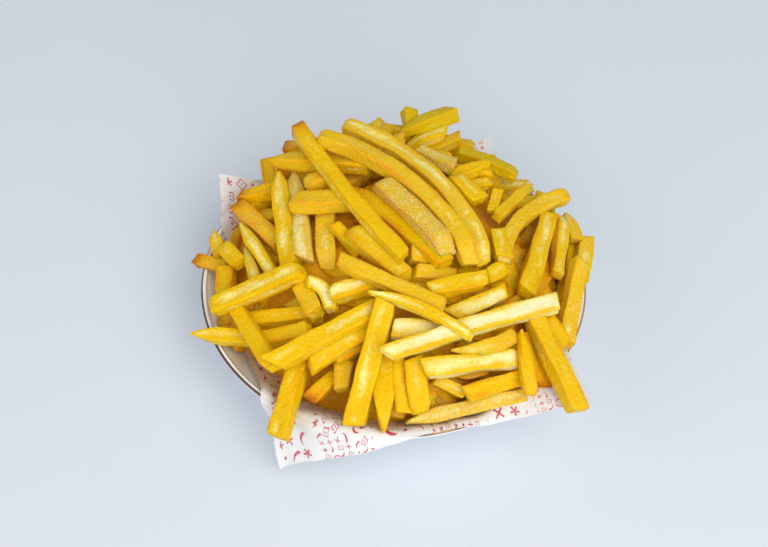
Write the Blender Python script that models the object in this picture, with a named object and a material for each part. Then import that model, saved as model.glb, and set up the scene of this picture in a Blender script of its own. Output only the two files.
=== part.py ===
"""A portion of french fries, heaped on a sheet of greaseproof paper in a shallow round dish.

Run it with blender --background --python part.py, or from Blender's text editor.
Metres, +Z up. The origin is the middle of the dish's flat underside, and the diner sits at -Y.
The fries lie still on each other, so nothing moves.
"""
import math
import random

import bmesh
import bpy
import numpy as np
from mathutils import Vector

MM = 0.001

# The dish
RIM_RADIUS = 105 * MM       # axis to the outer edge of the lip
RIM_HEIGHT = 42 * MM        # table to the top of the lip
FOOT_RADIUS = 52 * MM       # the flat underside
FLOOR = 4 * MM              # thickness over the foot
WALL = 3.2 * MM
WALL_SWEEP = 1.3            # 1 is a straight cone, more turns the wall up towards the lip
TURN_STEPS = 48             # facets round the dish, its paper and the foot of the heap
WALL_STEPS = 6              # facets up its wall
GAP = 0.4 * MM              # between pieces that touch

# The greaseproof sheet, as it lies
PAPER_WIDTH = 166 * MM      # seen from above, dipping into the dish
PAPER_LENGTH = 190 * MM
PAPER_TURN = math.radians(13)
PAPER_THICKNESS = 0.6 * MM
OVERHANG = 50 * MM          # how far past the lip the sheet is laid before its edges are cut
DROOP = 12                  # degrees that the paper drops past the lip, on average
DROOP_X = -5                # and what is added to that on the right
DROOP_Y = -40               # and at the back

# The heap
HEAP_TOP = 58               # mm, top of the mound above the lip
HEAP_REACH = 112            # mm, where the mound would come down to the lip's level
HEAP_BACK = 8               # mm that the mound's middle lies behind the dish's axis
HEAP_SWELL = 2.2            # 2 is a paraboloid, more has fuller shoulders
CORE_DEPTH = 6              # mm from the mound's surface down to the solid core
CORE_RADIUS = 90            # mm
CORE_STEPS = 8              # facets from its edge to its top
THICKNESS_SHARE = 0.88      # a fry's thickness over its width
FRY_STEPS = 8               # equal lengths in which a fry is laid
LIMPNESS = 0.15             # how far a fry follows the mound under it
LEAN = 0.6                  # how far it rolls towards the mound's slope
LIMP_ENOUGH = 1.5           # mm of sag or bow from which a fry gets facets along it
CROSSING = 0.55             # share of two widths within which two fries touch
SQUASH = 2.0                # mm that soft fries press into each other where they cross
SETTLING = 120              # rounds of settling
YIELD = 0.3                 # how far each of two fries gives way in a round
HOLD = 0.06                 # how strongly a fry keeps to its own height in each round

# Fries laid round the back in tiers: distance of their middles from the heap's middle,
# height over the lip, how many, and the first and last bearing in degrees from the right.
BACK_TIERS = (
    (80, 12, 14, 15, 150),
    (64, 24, 11, 25, 150),
    (45, 35, 7, 35, 145),
)
BACK_SEED = 7
BACK_WIDTHS = (8, 11)       # mm
BACK_HALF_LENGTHS = (21, 34)
BACK_TURN = 55              # degrees either way from lying round the heap
BACK_SCATTER = 5            # mm nearer or farther
BACK_TILT = 4               # mm that one end is higher or lower than the middle
BACK_BOW = 3

# Each fry from the lowest up: x, y, z of its two ends' tops in mm from the middle of the lip,
# its width, and how far it bows to the left of the way from the first end to the second.
FRIES = (
    # low ones round the left of the dish
    (-66, 62, 22, -34, 78, 28, 10, 0),
    (-108, 11, 5, -89, 4, 10, 7, 0),
    (-99, 27, 11, -94, 10, 11, 7, 0),
    (-85, 40, 19, -64, 40, 31, 8, 0),
    (-61, 75, 24, -38, 68, 35, 9, 0),
    (-77, 31, 18, -63, 22, 27, 9, 0),
    (-106, -42, 7, -72, -50, 13, 8, 0),
    (-90, 1, 9, -90, -17, 8, 9, 0),
    (-69, -54, 17, -43, -58, 31, 8, 0),
    (-75, -40, 16, -37, -45, 28, 8, 0),
    (-93, 12, 14, -82, -4, 19, 9, 0),
    (-85, 33, 22, -60, 1, 29, 9, 0),
    (-80, 5, 21, -71, -23, 21, 7, 0),
    (-83, 20, 24, -60, -26, 29, 7, 0),
    (-81, -36, 18, -61, -75, 21, 8, 0),
    (-43, -83, 4, -29, -71, 12, 8, 0),
    (-25, -67, 19, -26, -82, 11, 9, 0),
    (-30, -70, 20, -12, -60, 26, 8, 0),
    (-49, -69, 17, -58, -107, 7, 10, 0),
    (-36, 14, 39, -35, -22, 38, 10, 0),
    (-54, 49, 31, -47, -15, 34, 10, 0),
    (-63, 48, 35, -54, -18, 33, 10, 0),
    (-47, 27, 46, -32, 33, 43, 8, 0),
    (-55, 16, 42, -21, 14, 45, 10, 0),
    (-67, 52, 39, -12, 38, 47, 10, 0),
    (-47, -30, 33, -40, -49, 32, 10, 0),
    (-45, -32, 37, -32, -48, 36, 7, 4),
    (-95, -35, 19, -47, -26, 40, 10, 0),
    (-42, -76, 21, -13, -59, 31, 8, 0),
    (-61, -77, 27, -9, -52, 40, 10, 0),
    (-32, -43, 37, -8, -36, 41, 9, 0),
    # the front
    (7, -98, 7, 65, -82, 7, 8, 0),
    (-6, -71, 25, -5, -105, 10, 10, 0),
    (1, -71, 24, 5, -96, 12, 8, 0),
    (9, -73, 28, 13, -97, 14, 10, 0),
    (20, -79, 16, 35, -84, 11, 6, 0),
    (36, -89, 17, 65, -75, 13, 8, 0),
    (16, -76, 25, 46, -70, 23, 6, 0),
    (15, -81, 24, 64, -69, 18, 9, 0),
    (-5, -53, 45, -20, -103, 12, 11, 0),
    (29, -70, 29, 62, -58, 26, 8, -4),
    # the right
    (100, 24, 5, 91, -22, 7, 8, 0),
    (106, 22, 9, 100, -9, 12, 9, 0),
    (96, 39, 13, 99, 17, 15, 9, 0),
    (99, -3, 20, 89, -50, 9, 9, 0),
    (68, -52, 20, 76, -77, 7, 8, 0),
    (64, -59, 30, 68, -89, 16, 7, 0),
    (77, -44, 22, 88, -56, 14, 9, 0),
    (72, -49, 28, 92, -95, 13, 10, 0),
    (66, 31, 29, 87, 39, 21, 9, 0),
    (94, 32, 19, 87, -12, 19, 7, 0),
    (85, 28, 22, 68, -34, 31, 10, 0),
    (57, -12, 36, 97, 43, 22, 8, 8),
    (47, -29, 38, 58, -21, 35, 9, 0),
    (54, -2, 41, 57, -20, 41, 9, 0),
    # the back
    (-6, 88, 29, 46, 77, 29, 10, 0),
    (36, 64, 34, 68, 49, 28, 8, 0),
    (1, 82, 32, 15, 81, 30, 7, 0),
    (9, 95, 37, 11, 78, 34, 8, 0),
    (20, 68, 32, 37, 80, 31, 8, 0),
    (5, 74, 39, 34, 90, 41, 9, 0),
    (8, 68, 37, 30, 79, 37, 8, 0),
    (56, 31, 39, 52, 17, 37, 6, 0),
    (55, 13, 37, 77, 48, 25, 6, 0),
    (30, 27, 44, 51, 35, 40, 6, 0),
    (31, 36, 42, 53, 47, 38, 7, 0),
    (13, 55, 45, 33, 42, 46, 8, 0),
    (31, 32, 47, 45, 16, 47, 9, 0),
    # the middle
    (18, -45, 45, 46, -35, 43, 8, 0),
    (10, -32, 46, 31, -30, 42, 8, 0),
    (8, -21, 47, 20, -22, 42, 9, 0),
    (-32, 0, 46, -18, -16, 41, 6, 0),
    (-23, -7, 48, 6, -36, 46, 9, 0),
    (-1, -63, 38, 27, -60, 32, 10, 0),
    (29, -52, 35, 57, -38, 36, 8, 0),
    (-4, -81, 42, 84, -41, 33, 9, 0),
    (-13, -50, 47, 38, -71, 38, 6, 3),
    (-27, -29, 49, 25, -55, 45, 8, 0),
    # the long ones over the top
    (-23, 25, 48, 26, -28, 45, 10, 0),
    (-8, 23, 55, 28, -25, 52, 10, 1),
    (-27, 64, 56, 47, -25, 45, 9, 14),
    (-40, 51, 61, 40, -28, 48, 8, 13),
    (-53, 65, 54, 5, -29, 53, 8, -3),
)


def colour(part, rgb, roughness, metallic=0.0):
    """Gives a part its own plain material."""
    material = bpy.data.materials.new(part.name)
    material.use_nodes = True
    shader = material.node_tree.nodes["Principled BSDF"]
    shader.inputs["Base Color"].default_value = (*rgb, 1)
    shader.inputs["Roughness"].default_value = roughness
    shader.inputs["Metallic"].default_value = metallic
    part.data.materials.append(material)


def as_object(name, bm):
    bmesh.ops.recalc_face_normals(bm, faces=bm.faces)
    mesh = bpy.data.meshes.new(name)
    bm.to_mesh(mesh)
    bm.free()
    part = bpy.data.objects.new(name, mesh)
    bpy.context.scene.collection.objects.link(part)
    return part


def turned(name, profile, drop=None):
    """A solid of revolution whose (radius, height) profile starts and ends on the axis.

    drop(radius, angle) lowers single points, as a sheet droops more on one side.
    """
    bm = bmesh.new()
    rings = []
    for radius, height in profile:
        count = TURN_STEPS if radius > 0 else 1
        ring = []
        for i in range(count):
            angle = 2 * math.pi * i / TURN_STEPS
            z = height - (drop(radius, angle) if drop else 0)
            ring.append(bm.verts.new((radius * math.cos(angle), radius * math.sin(angle), z)))
        rings.append(ring)
    for lower, upper in zip(rings, rings[1:]):
        for i in range(TURN_STEPS):
            corners = ((lower, i), (lower, i + 1), (upper, i + 1), (upper, i))
            around = [ring[j % len(ring)] for ring, j in corners]
            bm.faces.new(list(dict.fromkeys(around)))
    if drop:
        bmesh.ops.triangulate(bm, faces=bm.faces)
    return as_object(name, bm)


def inside_of_dish():
    """(radius, height) points of the dish's inner face from the axis to the lip's top."""
    points = [(0, FLOOR)]
    lip = RIM_RADIUS - WALL / 2
    for i in range(WALL_STEPS + 1):
        share = i / WALL_STEPS
        height = FLOOR + (RIM_HEIGHT - FLOOR) * share ** WALL_SWEEP
        points.append((FOOT_RADIUS + (lip - FOOT_RADIUS) * share, height))
    return points


def raised(points, lift):
    """The same curve, moved off its surface by lift at right angles."""
    moved = []
    for i, (radius, height) in enumerate(points):
        before = points[max(i - 1, 0)]
        after = points[min(i + 1, len(points) - 1)]
        along = Vector((after[0] - before[0], after[1] - before[1])).normalized()
        moved.append((radius - along.y * lift if radius > 0 else 0, height + along.x * lift))
    return moved


def dish():
    """A glazed dish: flat foot, curved wall, rounded lip."""
    inner = inside_of_dish()
    outer = [(0, 0)] + [(radius + WALL * 0.55, height - WALL) for radius, height in inner[2:]]
    outer[1:1] = [(FOOT_RADIUS, 0)]
    lip = [(RIM_RADIUS, RIM_HEIGHT - WALL * 0.6), (RIM_RADIUS - WALL * 0.15, RIM_HEIGHT - WALL * 0.15)]
    part = turned("dish", outer[:-1] + lip + inner[::-1])
    part.data.shade_smooth()
    part.data.set_sharp_from_angle(angle=math.radians(40))
    colour(part, (0.80, 0.77, 0.72), 0.2)


def droop(radius, angle):
    """How far the paper has dropped at this distance from the axis, past the lip."""
    past = max(radius - RIM_RADIUS, 0)
    degrees = DROOP + DROOP_X * math.cos(angle) + DROOP_Y * math.sin(angle)
    return past * math.tan(math.radians(degrees))


def over_the_lip(lift):
    """The surface that lies on the dish and runs on level past the lip, raised by lift."""
    inner = raised(inside_of_dish(), lift)
    top = RIM_HEIGHT + lift
    return inner[:-1] + [(RIM_RADIUS - WALL, top), (RIM_RADIUS, top), (RIM_RADIUS + OVERHANG, top)]


def paper_liner():
    """A rectangle of greaseproof paper pressed into the dish, its corners past the lip."""
    under = over_the_lip(GAP)
    over = over_the_lip(GAP + PAPER_THICKNESS)
    sheet = turned("paper_liner", under + over[::-1], droop)
    bm = bmesh.new()
    bmesh.ops.create_cube(bm, size=1)
    outline = as_cutter(as_object("paper_outline", bm))
    outline.scale = (PAPER_WIDTH, PAPER_LENGTH, 8 * RIM_HEIGHT)
    outline.rotation_euler.z = PAPER_TURN
    boolean(sheet, "INTERSECT", outline)
    colour(sheet, (0.90, 0.89, 0.87), 0.55)


def mound(x, y):
    """Height of the heap's smooth surface over the lip, in mm."""
    reach = np.hypot(x, y - HEAP_BACK) / HEAP_REACH
    return HEAP_TOP * (1 - reach ** HEAP_SWELL)


class Fry:
    """One fry: a centre line in plan, the height of its two ends, and how it sags over the heap."""

    share = np.linspace(0, 1, FRY_STEPS + 1)

    def __init__(self, x1, y1, z1, x2, y2, z2, width, bow):
        way = np.array((x2 - x1, y2 - y1), float)
        left = np.array((-way[1], way[0])) / np.hypot(*way)
        arc = 4 * self.share * (1 - self.share)
        self.plan = np.array((x1, y1), float) + np.outer(self.share, way) + np.outer(bow * arc, left)
        self.width = width
        self.thickness = width * THICKNESS_SHARE
        self.given = np.array((z1, z2)) - self.thickness / 2
        self.ends = self.given.copy()
        self.left = left
        under = mound(self.plan[:, 0], self.plan[:, 1])
        straight = under[0] + (under[-1] - under[0]) * self.share
        self.sag = LIMPNESS * np.clip(under - straight, 0, None)
        middle = self.plan[len(self.share) // 2]
        rise = mound(*(middle + left)) - mound(*(middle - left))
        self.roll = LEAN * math.atan(rise / 2)
        self.limp = max(np.ptp(self.sag), abs(bow)) > LIMP_ENOUGH

    def heights(self):
        return self.ends[0] + (self.ends[1] - self.ends[0]) * self.share + self.sag

    def push(self, step, lift):
        """Moves the fry up by lift at one of its steps, tilting it about the far end."""
        weight = np.array((1 - self.share[step], self.share[step]))
        self.ends += lift * weight / (weight @ weight)


def behind():
    """Rows for the fries round the back, tier on tier, most of them lying round the heap."""
    chance = random.Random(BACK_SEED)
    rows = []
    for distance, height, count, first, last in BACK_TIERS:
        for i in range(count):
            bearing = math.radians(first + (last - first) * (i + chance.uniform(0.2, 0.8)) / count)
            heading = bearing + math.radians(90 + chance.uniform(-BACK_TURN, BACK_TURN))
            reach = distance + chance.uniform(-BACK_SCATTER, BACK_SCATTER)
            middle = Vector((reach * math.cos(bearing), HEAP_BACK + reach * math.sin(bearing)))
            half = Vector((math.cos(heading), math.sin(heading))) * chance.uniform(*BACK_HALF_LENGTHS)
            tilt = chance.uniform(-BACK_TILT, BACK_TILT)
            one, other = middle - half, middle + half
            shape = chance.uniform(*BACK_WIDTHS), chance.uniform(-BACK_BOW, BACK_BOW)
            rows.append((*one, height - tilt, *other, height + tilt, *shape))
    return rows


def settled(rows):
    """The fries with their heights eased apart where one crosses another."""
    fries = [Fry(*row) for row in rows]
    touching = []
    for upper_index, upper in enumerate(fries):
        for lower in fries[:upper_index]:
            apart = np.linalg.norm(upper.plan[:, None] - lower.plan[None], axis=2)
            for step, row in enumerate(apart):
                if row.min() < CROSSING * (upper.width + lower.width) / 2:
                    touching.append((upper, step, lower, int(row.argmin())))
    for _ in range(SETTLING):
        for upper, step, lower, other in touching:
            room = (upper.thickness + lower.thickness) / 2 - SQUASH
            short = room - (upper.heights()[step] - lower.heights()[other])
            if short > 0:
                upper.push(step, YIELD * short)
                lower.push(other, -YIELD * short)
        for fry in fries:
            fry.ends += (fry.given - fry.ends) * HOLD
    return fries


def add_bar(bm, fry):
    """A four-sided bar along the fry, with a ring at each end and two between if it is limp."""
    heights = fry.heights()
    steps = (0, 3, 5, FRY_STEPS) if fry.limp else (0, FRY_STEPS)
    side = Vector((*(fry.left * math.cos(fry.roll)), math.sin(fry.roll))) * fry.width / 2
    up = Vector((*(-fry.left * math.sin(fry.roll)), math.cos(fry.roll))) * fry.thickness / 2
    rings = []
    for step in steps:
        centre = Vector((*fry.plan[step], heights[step]))
        corners = (centre - side - up, centre + side - up, centre + side + up, centre - side + up)
        rings.append([bm.verts.new(corner * MM + Vector((0, 0, RIM_HEIGHT))) for corner in corners])
    bm.faces.new(rings[0])
    bm.faces.new(rings[-1][::-1])
    for ring, following in zip(rings, rings[1:]):
        for i in range(4):
            j = (i + 1) % 4
            bm.faces.new((ring[i], following[i], following[j], ring[j]))


def heap_core():
    """What lies under the visible fries: a mound that fills the lined dish."""
    lift = 2 * GAP + PAPER_THICKNESS
    foot = [point for point in raised(inside_of_dish(), lift) if point[0] < CORE_RADIUS * MM]
    top = []
    for i in range(CORE_STEPS + 1):
        radius = CORE_RADIUS * (1 - i / CORE_STEPS)
        height = HEAP_TOP * (1 - (radius / HEAP_REACH) ** HEAP_SWELL) - CORE_DEPTH
        top.append((radius * MM, RIM_HEIGHT + height * MM))
    return as_cutter(turned("heap_core", foot + top))


def room_for_dish():
    """Everything under the paper's upper face and a gap, as far out as a fry reaches."""
    low = -RIM_HEIGHT
    face = over_the_lip(2 * GAP + PAPER_THICKNESS)
    return as_cutter(turned("room_for_dish", [(0, low), (RIM_RADIUS + OVERHANG, low)] + face[::-1], droop))


def as_cutter(part):
    part.hide_render = True
    part.display_type = "WIRE"
    return part


def boolean(part, operation, other, crosses_itself=False):
    change = part.modifiers.new(operation.lower() + " " + other.name, "BOOLEAN")
    change.operation = operation
    change.object = other
    change.use_self = crosses_itself


def keep_largest_body(part):
    """Applies the modifiers and drops the hollows and crumbs that the union leaves behind."""
    evaluated = part.evaluated_get(bpy.context.evaluated_depsgraph_get())
    bm = bmesh.new()
    bm.from_mesh(evaluated.to_mesh())
    bodies = []
    waiting = set(bm.faces)
    while waiting:
        body = {waiting.pop()}
        edge_of_body = set(body)
        while edge_of_body:
            face = edge_of_body.pop()
            beside = {other for edge in face.edges for other in edge.link_faces} & waiting
            waiting -= beside
            body |= beside
            edge_of_body |= beside
        bodies.append(body)
    largest = max(bodies, key=len)
    bmesh.ops.delete(bm, geom=[face for face in bm.faces if face not in largest], context="FACES")
    part.modifiers.clear()
    bm.to_mesh(part.data)
    bm.free()


def fries_heap():
    """All the fries and the core under them as one closed body that clears the paper by a gap."""
    bm = bmesh.new()
    for fry in settled((*behind(), *FRIES)):
        add_bar(bm, fry)
    heap = as_object("fries_heap", bm)
    boolean(heap, "UNION", heap_core(), crosses_itself=True)
    boolean(heap, "DIFFERENCE", room_for_dish())
    keep_largest_body(heap)
    colour(heap, (0.80, 0.56, 0.04), 0.45)


def clear_scene():
    for old in list(bpy.data.objects):
        bpy.data.objects.remove(old)


clear_scene()
dish()
paper_liner()
fries_heap()
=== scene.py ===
"""A portion of french fries on printed greaseproof paper in a shallow round dish.

The sections follow the portion as it is served: the dish, the paper pressed into it, the hot
fries shaken onto it, the few turned out last, and then the table and the light it is seen in.
"""
import math
import random

import bpy
import numpy as np
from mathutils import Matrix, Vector, noise


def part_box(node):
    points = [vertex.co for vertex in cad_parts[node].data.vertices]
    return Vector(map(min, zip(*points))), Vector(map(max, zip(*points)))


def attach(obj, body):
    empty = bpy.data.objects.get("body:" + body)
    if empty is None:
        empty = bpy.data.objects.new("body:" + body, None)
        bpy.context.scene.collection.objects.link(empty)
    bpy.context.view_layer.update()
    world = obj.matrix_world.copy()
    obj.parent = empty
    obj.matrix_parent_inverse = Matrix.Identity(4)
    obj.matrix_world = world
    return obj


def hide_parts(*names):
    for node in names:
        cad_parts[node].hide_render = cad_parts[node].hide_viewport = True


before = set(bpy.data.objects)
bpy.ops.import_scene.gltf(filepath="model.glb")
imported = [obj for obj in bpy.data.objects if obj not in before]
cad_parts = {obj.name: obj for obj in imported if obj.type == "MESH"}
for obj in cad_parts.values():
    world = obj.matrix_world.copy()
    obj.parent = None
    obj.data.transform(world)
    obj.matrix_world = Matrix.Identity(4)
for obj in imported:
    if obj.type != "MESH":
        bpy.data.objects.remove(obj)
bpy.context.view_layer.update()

# -----------------------------------------------------------------------------
# THE DISH
# A shallow porcelain dish, jiggered in one piece: flat foot, wall that swings up to a rounded
# lip, white glaze all over. A line of gold lustre is brushed round the lip over the glaze and
# fired on, thin and darker where the brush ran dry; towards the front left it is painted
# darker still, as painted shade.
# -----------------------------------------------------------------------------
MM = 0.001
dish_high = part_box("dish")[1]
LIP_RADIUS = dish_high.x
LIP_HEIGHT = dish_high.z
FOOT_RADIUS = 52 * MM
FLOOR_THICKNESS = 4 * MM
WALL = 3.2 * MM
WALL_SWEEP = 1.3
WALL_STEPS = 40
ROUND_STEPS = 192
LIP_STEPS = 13
GOLD_LINE = 1.2 * MM
GOLD_DEPTH = 1.3 * MM
GLAZE = (0.93, 0.95, 0.97)
GLAZE_POOLED = (0.90, 0.91, 0.93)
PINHOLE = (0.55, 0.50, 0.42)
# The gold's two colours; the dark one is both its dull streaks and the painted shade on its front left.
GOLD_BRIGHT = (0.66, 0.42, 0.18)
GOLD_DARK = (0.16, 0.105, 0.075)


def inner_face():
    """(radius, height) of the dish's upper face, from the axis out to the lip."""
    points = [(0.0, FLOOR_THICKNESS), (FOOT_RADIUS / 2, FLOOR_THICKNESS)]
    lip_middle = LIP_RADIUS - WALL / 2
    for share in np.linspace(0, 1, WALL_STEPS + 1):
        height = FLOOR_THICKNESS + (LIP_HEIGHT - FLOOR_THICKNESS) * share ** WALL_SWEEP
        points.append((FOOT_RADIUS + (lip_middle - FOOT_RADIUS) * share, height))
    return points


def rounded_lip():
    """Half a circle over the top of the wall, from its inner face to its outer one."""
    centre = LIP_RADIUS - WALL / 2, LIP_HEIGHT - WALL / 2
    angles = np.radians(np.linspace(150, -30, LIP_STEPS))
    return [(centre[0] + WALL / 2 * math.cos(a), centre[1] + WALL / 2 * math.sin(a)) for a in angles]


def smooth_body(name, verts, faces):
    """A smoothly shaded piece with these corners and faces."""
    mesh = bpy.data.meshes.new(name)
    mesh.from_pydata(verts, [], faces)
    mesh.shade_smooth()
    piece = bpy.data.objects.new(name, mesh)
    bpy.context.scene.collection.objects.link(piece)
    return piece


def turned(name, profile):
    """A body of revolution; the profile runs from the axis to the axis."""
    verts = []
    rings = []
    for radius, height in profile:
        count = ROUND_STEPS if radius > 0 else 1
        rings.append(range(len(verts), len(verts) + count))
        for turn in range(count):
            angle = 2 * math.pi * turn / ROUND_STEPS
            verts.append((radius * math.cos(angle), radius * math.sin(angle), height))
    faces = []
    for ring, following in zip(rings, rings[1:]):
        for turn in range(ROUND_STEPS):
            ahead = turn + 1
            corners = ((ring, turn), (following, turn), (following, ahead), (ring, ahead))
            faces.append(tuple(dict.fromkeys(loop[i % len(loop)] for loop, i in corners)))
    return smooth_body(name, verts, faces)


def add(tree, kind, inputs=None, **settings):
    """Adds a shader node; an input takes a value or another node's output."""
    made = tree.nodes.new("ShaderNode" + kind)
    for name, value in settings.items():
        setattr(made, name, value)
    for socket, value in (inputs or {}).items():
        if isinstance(value, bpy.types.NodeSocket):
            tree.links.new(value, made.inputs[socket])
        else:
            made.inputs[socket].default_value = value
    return made


def maths(tree, operation, first, second=0.0, third=0.0):
    return add(tree, "Math", {0: first, 1: second, 2: third}, operation=operation).outputs[0]


def product(tree, first, second):
    return maths(tree, "MULTIPLY", first, second)


def span(tree, value, low, high, to_low=0.0, to_high=1.0):
    """Maps low..high to to_low..to_high, smoothly and no further."""
    inputs = {"Value": value, "From Min": low, "From Max": high, "To Min": to_low, "To Max": to_high}
    return add(tree, "MapRange", inputs, interpolation_type="SMOOTHSTEP").outputs[0]


def blend(tree, share, first, second):
    """Mixes two colours; plain tuples may leave out the alpha."""
    first, second = [(*c, 1) if isinstance(c, tuple) else c for c in (first, second)]
    return add(tree, "Mix", {0: share, 6: first, 7: second}, data_type="RGBA").outputs[2]


def grain(tree, where, size, detail=2.0, roughness=0.5):
    """Noise between 0 and 1 whose lumps are about size metres across."""
    inputs = {"Vector": where, "Scale": 1 / size, "Detail": detail, "Roughness": roughness}
    return add(tree, "TexNoise", inputs).outputs[0]


def finish_material(name, roughness=0.5, **sockets):
    """A material with its Principled shader; returns the material, its tree and the shader."""
    material = bpy.data.materials.new(name)
    material.use_nodes = True
    shader = material.node_tree.nodes["Principled BSDF"]
    shader.inputs["Roughness"].default_value = roughness
    for socket, value in sockets.items():
        shader.inputs[socket.replace("_", " ")].default_value = value
    return material, material.node_tree, shader


def bumped(tree, shader, height, distance, strength=1.0):
    bump = add(tree, "Bump", {"Height": height, "Distance": distance, "Strength": strength})
    tree.links.new(bump.outputs[0], shader.inputs["Normal"])


def white_glaze():
    """Glaze that pools a little thicker in places, with a few pinholes from the kiln."""
    material, tree, shader = finish_material("white_glaze", 0.14, Coat_Weight=0.5, Coat_Roughness=0.06)
    where = add(tree, "TexCoord").outputs["Object"]
    pooling = span(tree, grain(tree, where, 30 * MM, 3), 0.35, 0.7)
    colour = blend(tree, pooling, GLAZE, GLAZE_POOLED)
    pinholes = add(tree, "TexVoronoi", {"Vector": where, "Scale": 1 / (9 * MM)}).outputs["Distance"]
    pinhole = span(tree, pinholes, 0.02, 0.05, 1, 0)
    tree.links.new(blend(tree, pinhole, colour, PINHOLE), shader.inputs["Base Color"])
    tree.links.new(span(tree, pooling, 0, 1, 0.10, 0.20), shader.inputs["Roughness"])
    bumped(tree, shader, grain(tree, where, 14 * MM, 2), 0.15 * MM, 0.5)
    return material


def gold_lustre():
    """Fired gold, brushed on by hand, dull in streaks and painted darker on its front left as painted shade.
    """
    material, tree, shader = finish_material("gold_lustre", 0.3, Metallic=0.85)
    where = add(tree, "TexCoord").outputs["Object"]
    side = add(tree, "SeparateXYZ", {0: where}).outputs
    # painted shade: the gold is painted darker towards the front left of the dish
    shaded_front_left = maths(tree, "MULTIPLY_ADD", side["X"], -4.0, product(tree, side["Y"], -5.0))
    streaks_and_shade = maths(tree, "MULTIPLY_ADD", grain(tree, where, 5 * MM, 4), 0.9, shaded_front_left)
    dullness_and_shade = span(tree, streaks_and_shade, 0.35, 1.05)
    tree.links.new(blend(tree, dullness_and_shade, GOLD_BRIGHT, GOLD_DARK), shader.inputs["Base Color"])
    tree.links.new(span(tree, dullness_and_shade, 0, 1, 0.28, 0.5), shader.inputs["Roughness"])
    bumped(tree, shader, grain(tree, where, 1.5 * MM, 2), 0.05 * MM, 0.4)
    return material


under_side = [(0.0, 0.0), (FOOT_RADIUS - 1 * MM, 0.0), (FOOT_RADIUS, 0.4 * MM)]
for radius, height in inner_face()[4:-2]:
    under_side.append((radius + WALL * 0.55, max(height - WALL, 0.6 * MM)))
dish = turned("white_dish", under_side + rounded_lip()[::-1] + inner_face()[:-1][::-1])
dish.data.materials.append(white_glaze())
dish.data.materials.append(gold_lustre())
for face in dish.data.polygons:
    out = math.hypot(face.center.x, face.center.y)
    face.material_index = int(out > LIP_RADIUS - GOLD_LINE and face.center.z > LIP_HEIGHT - GOLD_DEPTH)
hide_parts("dish")
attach(dish, "root")

# -----------------------------------------------------------------------------
# THE PAPER
# One sheet of thin bleached greaseproof paper, cut square, printed in crimson and pushed down
# into the dish by the weight of the fries. It can't stretch, so it lies in pleats up the wall,
# and its corners run on over the lip and hang.
# -----------------------------------------------------------------------------
SHEET_WIDTH = 184 * MM
SHEET_LENGTH = 216 * MM
SHEET_TURN = math.radians(12.5)
SHEET_OFFSET = Vector((-3 * MM, -11 * MM))
SHEET_LIFT = 0.5 * MM
SHEET_CELL = 1.5 * MM
LIP_CURL = 5 * MM
CORNER_BEARING = math.radians(243.5)  # of the front left corner, which is bunched and hangs
STANDING_BEARING = math.radians(146)  # of the back left one, which stands up
LIFTED_BEARING = math.radians(-40)  # of the front right one, held level by a fry
HANG_ALL_ROUND, HANG_FRONT, HANG_LEFT = 6, 14, 4  # degrees below level past the lip
BUNCHED_DROP, STANDING_RISE, LIFTED_RISE = 50, 42, 16  # what the three corners change in that
GATHER_BEARING = math.radians(236)
GATHER_SPREAD = math.radians(14)
GATHER = 0.55
GATHER_FROM = 70 * MM
GATHER_OVER = 45 * MM
PLEATS_FROM = 55 * MM
PLEATS_OVER = 60 * MM
PLEATS = ((7, 1.1, 1.0), (13, 0.4, 0.7), (29, 0.0, 0.45))  # how many, where they start, how deep
PAPER_WHITE = (0.86, 0.85, 0.84)
PAPER_FIBRE = (0.80, 0.79, 0.78)
GREASE = (0.72, 0.66, 0.50)
CRIMSON = (0.60, 0.008, 0.05)
PRINT_SPACINGS = 4.2 * MM, 9 * MM


def wall_curve():
    """Distance walked up the dish from its axis, and the radius and height there."""
    points = np.array(inner_face() + [(LIP_RADIUS - WALL / 2, LIP_HEIGHT)])
    walked = np.concatenate(([0], np.cumsum(np.hypot(*np.diff(points, axis=0).T))))
    return walked, points[:, 0], points[:, 1]


def hang(angle):
    """Degrees below level at which the sheet leaves the lip: more at the front than at the back."""
    bunched = max(0.0, math.cos(angle - CORNER_BEARING))
    standing = max(0.0, math.cos(angle - STANDING_BEARING))
    lifted = max(0.0, math.cos(angle - LIFTED_BEARING))
    drop = HANG_ALL_ROUND - HANG_FRONT * math.sin(angle) - HANG_LEFT * math.cos(angle)
    return drop + BUNCHED_DROP * bunched ** 3 - STANDING_RISE * standing ** 8 - LIFTED_RISE * lifted ** 6


def gathered(angle, walked):
    """The front left corner is bunched: the sheet round it is drawn together sideways."""
    beside = (angle - GATHER_BEARING + math.pi) % (2 * math.pi) - math.pi
    strength = GATHER * min(max((walked - GATHER_FROM) / GATHER_OVER, 0), 1)
    return GATHER_BEARING + beside * (1 - strength * math.exp(-(beside / GATHER_SPREAD) ** 2))


def pleats(walked, angle, point):
    """How far the sheet stands off the wall in its folds."""
    rise = min(max((walked - PLEATS_FROM) / PLEATS_OVER, 0), 1)
    wave = sum(depth * math.sin(count * angle + start) for count, start, depth in PLEATS)
    fold = noise.noise(Vector((point.x, point.y, 0)) * 45)
    crease = 1 - abs(noise.noise(Vector((point.x, point.y, 0.3)) * 70)) * 2
    fine = 1 - abs(noise.noise(Vector((point.x, point.y, 0.7)) * 180)) * 2
    return (0.9 * (wave + 1.9) * rise ** 2 + 1.2 * (fold + 0.5) * rise + 0.5 * crease + 0.2 * fine) * MM


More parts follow.
